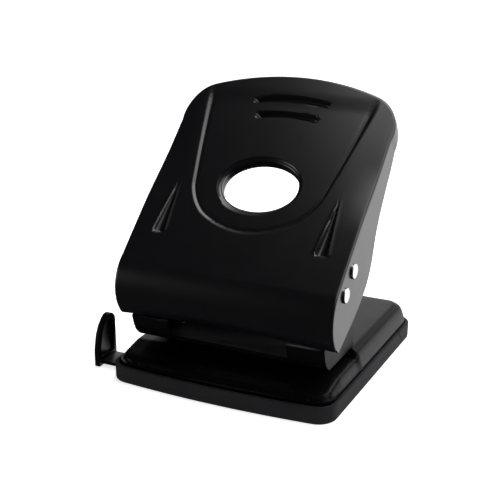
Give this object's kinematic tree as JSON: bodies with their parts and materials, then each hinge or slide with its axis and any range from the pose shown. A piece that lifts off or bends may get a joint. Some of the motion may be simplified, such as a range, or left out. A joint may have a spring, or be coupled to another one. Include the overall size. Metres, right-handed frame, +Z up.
{
  "type": "two-hole lever punch",
  "caption": "Desktop hole punch: broad sloping lever with an oval hand opening on a steel frame and base, sprung punch pins, clip-on chip tray and sliding paper guide.",
  "frame": {"origin": "centre of the chip tray's underside, on the table", "axes": "+X to the right as seen from the user's side, +Y to the back, +Z up"},
  "size_m": [0.136, 0.1288, 0.1419],
  "materials": {
    "base_steel": "semi-gloss black stove enamel on pressed steel",
    "handle_steel": "semi-gloss black powder coat with fine orange peel",
    "frame_steel": "satin black enamel",
    "tray_plastic": "fine moulded grain, matte black",
    "guide_plastic": "black moulded plastic, semi-gloss",
    "bright_steel": "nickel-plated steel, bright",
    "tool_steel": "ground hardened steel",
    "spring_steel": "oiled spring steel wire",
    "sleeve_steel": "zinc-plated steel tube"
  },
  "bodies": {
    "base": {"base_plate": "base_steel", "bracket": "frame_steel", "bracket_rivets": "bright_steel", "upper_guide": "frame_steel", "die_left": "tool_steel", "die_right": "tool_steel", "spring_left": "spring_steel", "spring_right": "spring_steel"},
    "handle": {"handle": "handle_steel", "pivot_shaft": "bright_steel", "drive_shaft": "bright_steel", "pivot_spacer_left": "sleeve_steel", "pivot_spacer_right": "sleeve_steel", "drive_spacer_left": "sleeve_steel", "drive_spacer_right": "sleeve_steel"},
    "punch_left": {"punch_pin_left": "tool_steel", "yoke_left": "tool_steel", "collar_left": "tool_steel"},
    "punch_right": {"punch_pin_right": "tool_steel", "yoke_right": "tool_steel", "collar_right": "tool_steel"},
    "tray": {"tray": "tray_plastic"},
    "guide": {"paper_guide": "guide_plastic"}
  },
  "joints": [
    {"name": "handle_press", "type": "hinge", "parent": "base", "child": "handle", "pos_m": [0, -0.0419, 0.0588], "axis": [-1, 0, 0], "range_deg": [0, 34], "stiffness_Nm_per_rad": 0.9, "springref_deg": -20.05},
    {"name": "punch_left_slide", "type": "slide", "parent": "base", "child": "punch_left", "axis": [0, 0, -1], "range_m": [0, 0.0072], "deforming": ["spring_left"]},
    {"name": "punch_right_slide", "type": "slide", "parent": "base", "child": "punch_right", "axis": [0, 0, -1], "range_m": [0, 0.0072], "deforming": ["spring_right"]},
    {"name": "tray_open", "type": "hinge", "parent": "base", "child": "tray", "pos_m": [0, -0.0624, 0.009], "axis": [-1, 0, 0], "range_deg": [0, 45]},
    {"name": "guide_slide", "type": "slide", "parent": "tray", "child": "guide", "axis": [-1, 0, 0], "range_m": [-0.0105, 0.076]}
  ],
  "couplings": [
    {"joint": "punch_left_slide", "follows": "handle_press", "m_per_rad": 0.0121},
    {"joint": "punch_right_slide", "follows": "handle_press", "m_per_rad": 0.0121}
  ]
}
